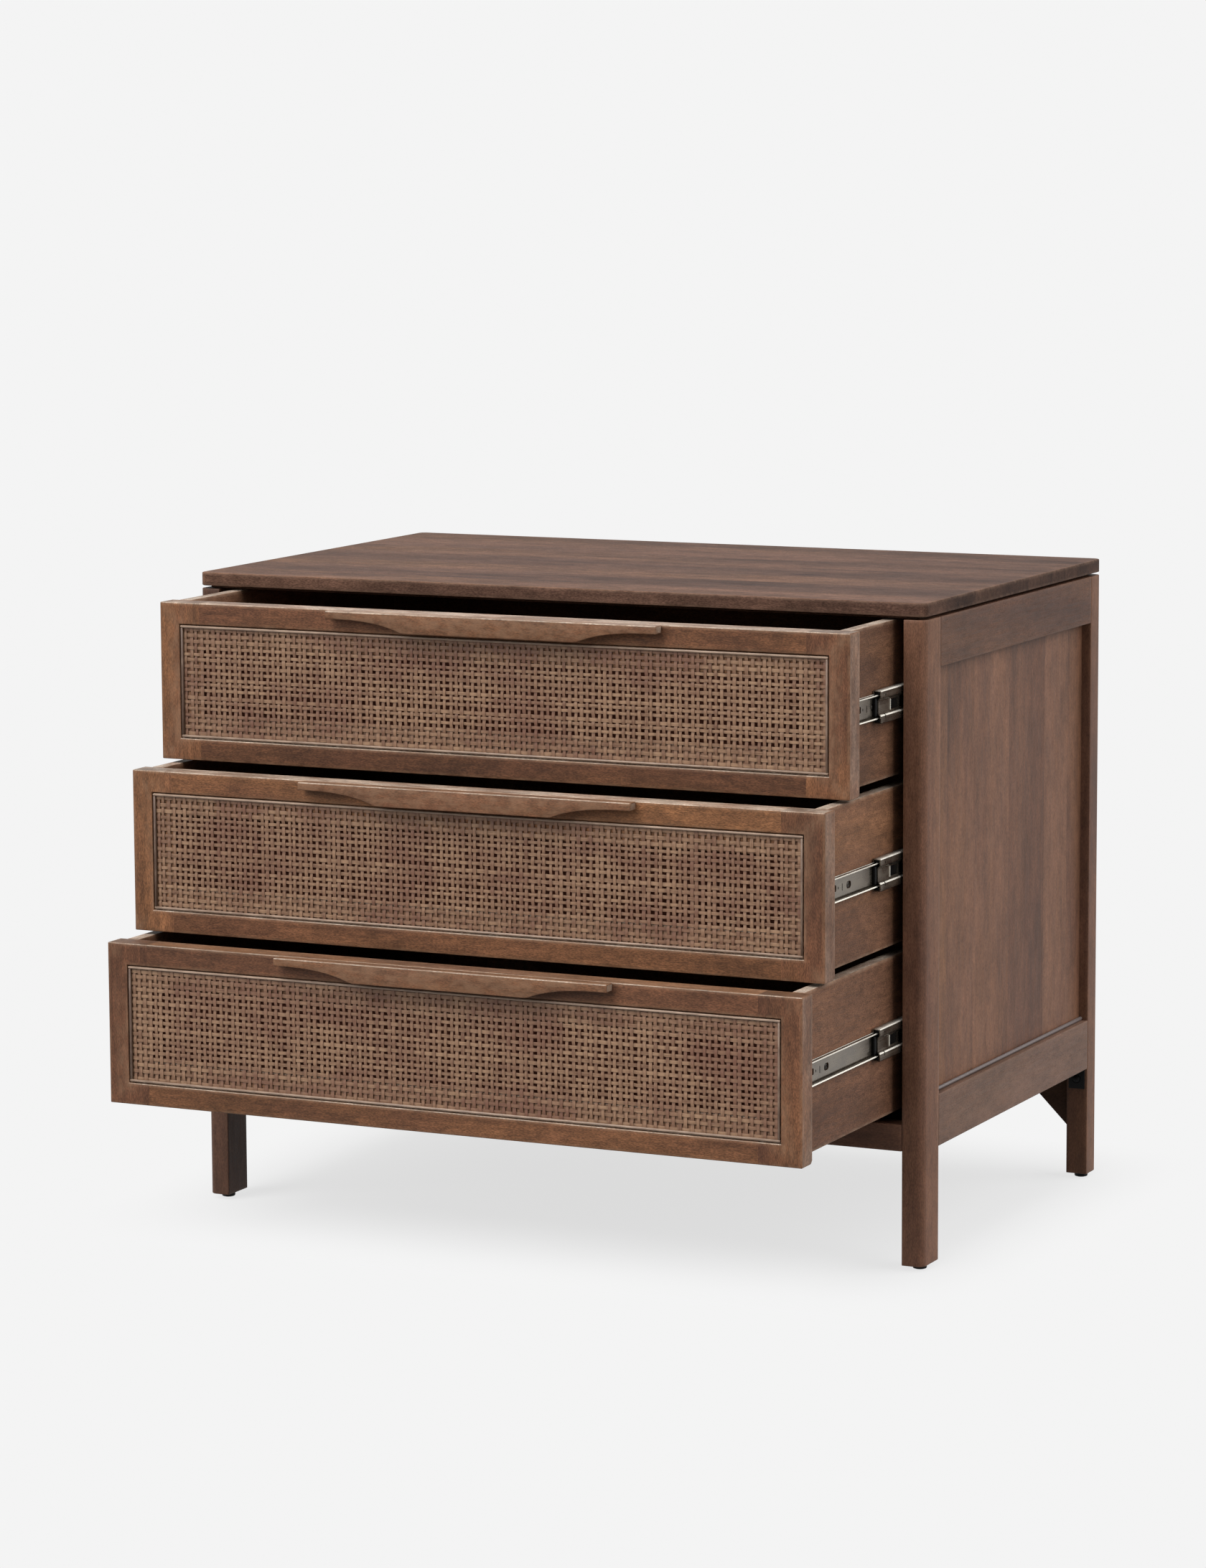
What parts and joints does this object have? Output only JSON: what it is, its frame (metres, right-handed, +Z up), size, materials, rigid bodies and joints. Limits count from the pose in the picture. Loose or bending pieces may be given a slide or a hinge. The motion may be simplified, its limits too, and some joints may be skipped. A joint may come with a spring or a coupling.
{
  "type": "nightstand",
  "caption": "Wooden nightstand on tall square legs, with woven cane drawer fronts that slide on full-extension ball-bearing runners.",
  "frame": {"origin": "on the floor, under the middle of the box around the whole object with its drawers open as in the picture", "axes": "+Z up, the drawers open towards -Y, +X to the right of someone facing the drawers"},
  "size_m": [0.914, 0.844, 0.749],
  "materials": {
    "top_wood": "satin oiled hardwood, edge-glued boards",
    "case_wood": "satin oiled hardwood",
    "front_wood": "satin oiled hardwood, warm brown",
    "box_wood": "matt stained hardwood",
    "panel_wood": "matt stained plywood",
    "cane": "woven cane strips on a dark plywood backer",
    "zinc": "satin zinc-plated rolled steel",
    "black_glide": "black moulded glide"
  },
  "bodies": {
    "cabinet": {"top_panel": "top_wood", "leg_front_left": "case_wood", "leg_front_right": "case_wood", "leg_back_left": "case_wood", "leg_back_right": "case_wood", "foot_front_left": "black_glide", "foot_front_right": "black_glide", "foot_back_left": "black_glide", "foot_back_right": "black_glide", "side_top_rail_left": "case_wood", "side_top_rail_right": "case_wood", "side_panel_left": "case_wood", "side_panel_right": "case_wood", "side_bottom_rail_left": "case_wood", "side_bottom_rail_right": "case_wood", "front_rail": "case_wood", "back_rail": "case_wood", "back_panel": "panel_wood", "corner_brace_left": "panel_wood", "corner_brace_right": "panel_wood", "slide_1_left_case": "zinc", "slide_1_right_case": "zinc", "slide_2_left_case": "zinc", "slide_2_right_case": "zinc", "slide_3_left_case": "zinc", "slide_3_right_case": "zinc"},
    "slides_1": {"slide_1_left_intermediate": "zinc", "slide_1_right_intermediate": "zinc"},
    "drawer_1": {"drawer_1_front": "front_wood", "drawer_1_cane": "cane", "drawer_1_pull": "front_wood", "drawer_1_side_left": "box_wood", "drawer_1_side_right": "box_wood", "drawer_1_back": "box_wood", "drawer_1_bottom": "panel_wood", "slide_1_left_drawer": "zinc", "slide_1_right_drawer": "zinc"},
    "slides_2": {"slide_2_left_intermediate": "zinc", "slide_2_right_intermediate": "zinc"},
    "drawer_2": {"drawer_2_front": "front_wood", "drawer_2_cane": "cane", "drawer_2_pull": "front_wood", "drawer_2_side_left": "box_wood", "drawer_2_side_right": "box_wood", "drawer_2_back": "box_wood", "drawer_2_bottom": "panel_wood", "slide_2_left_drawer": "zinc", "slide_2_right_drawer": "zinc"},
    "slides_3": {"slide_3_left_intermediate": "zinc", "slide_3_right_intermediate": "zinc"},
    "drawer_3": {"drawer_3_front": "front_wood", "drawer_3_cane": "cane", "drawer_3_pull": "front_wood", "drawer_3_side_left": "box_wood", "drawer_3_side_right": "box_wood", "drawer_3_back": "box_wood", "drawer_3_bottom": "panel_wood", "slide_3_left_drawer": "zinc", "slide_3_right_drawer": "zinc"}
  },
  "joints": [
    {"name": "slides_1_extend", "type": "slide", "parent": "cabinet", "child": "slides_1", "axis": [0, -1, 0], "range_m": [-0.112, 0.138]},
    {"name": "drawer_1_extend", "type": "slide", "parent": "slides_1", "child": "drawer_1", "axis": [0, -1, 0], "range_m": [-0.0295, 0.2205]},
    {"name": "slides_2_extend", "type": "slide", "parent": "cabinet", "child": "slides_2", "axis": [0, -1, 0], "range_m": [-0.112, 0.138]},
    {"name": "drawer_2_extend", "type": "slide", "parent": "slides_2", "child": "drawer_2", "axis": [0, -1, 0], "range_m": [-0.097, 0.153]},
    {"name": "slides_3_extend", "type": "slide", "parent": "cabinet", "child": "slides_3", "axis": [0, -1, 0], "range_m": [-0.112, 0.138]},
    {"name": "drawer_3_extend", "type": "slide", "parent": "slides_3", "child": "drawer_3", "axis": [0, -1, 0], "range_m": [-0.158, 0.092]}
  ]
}
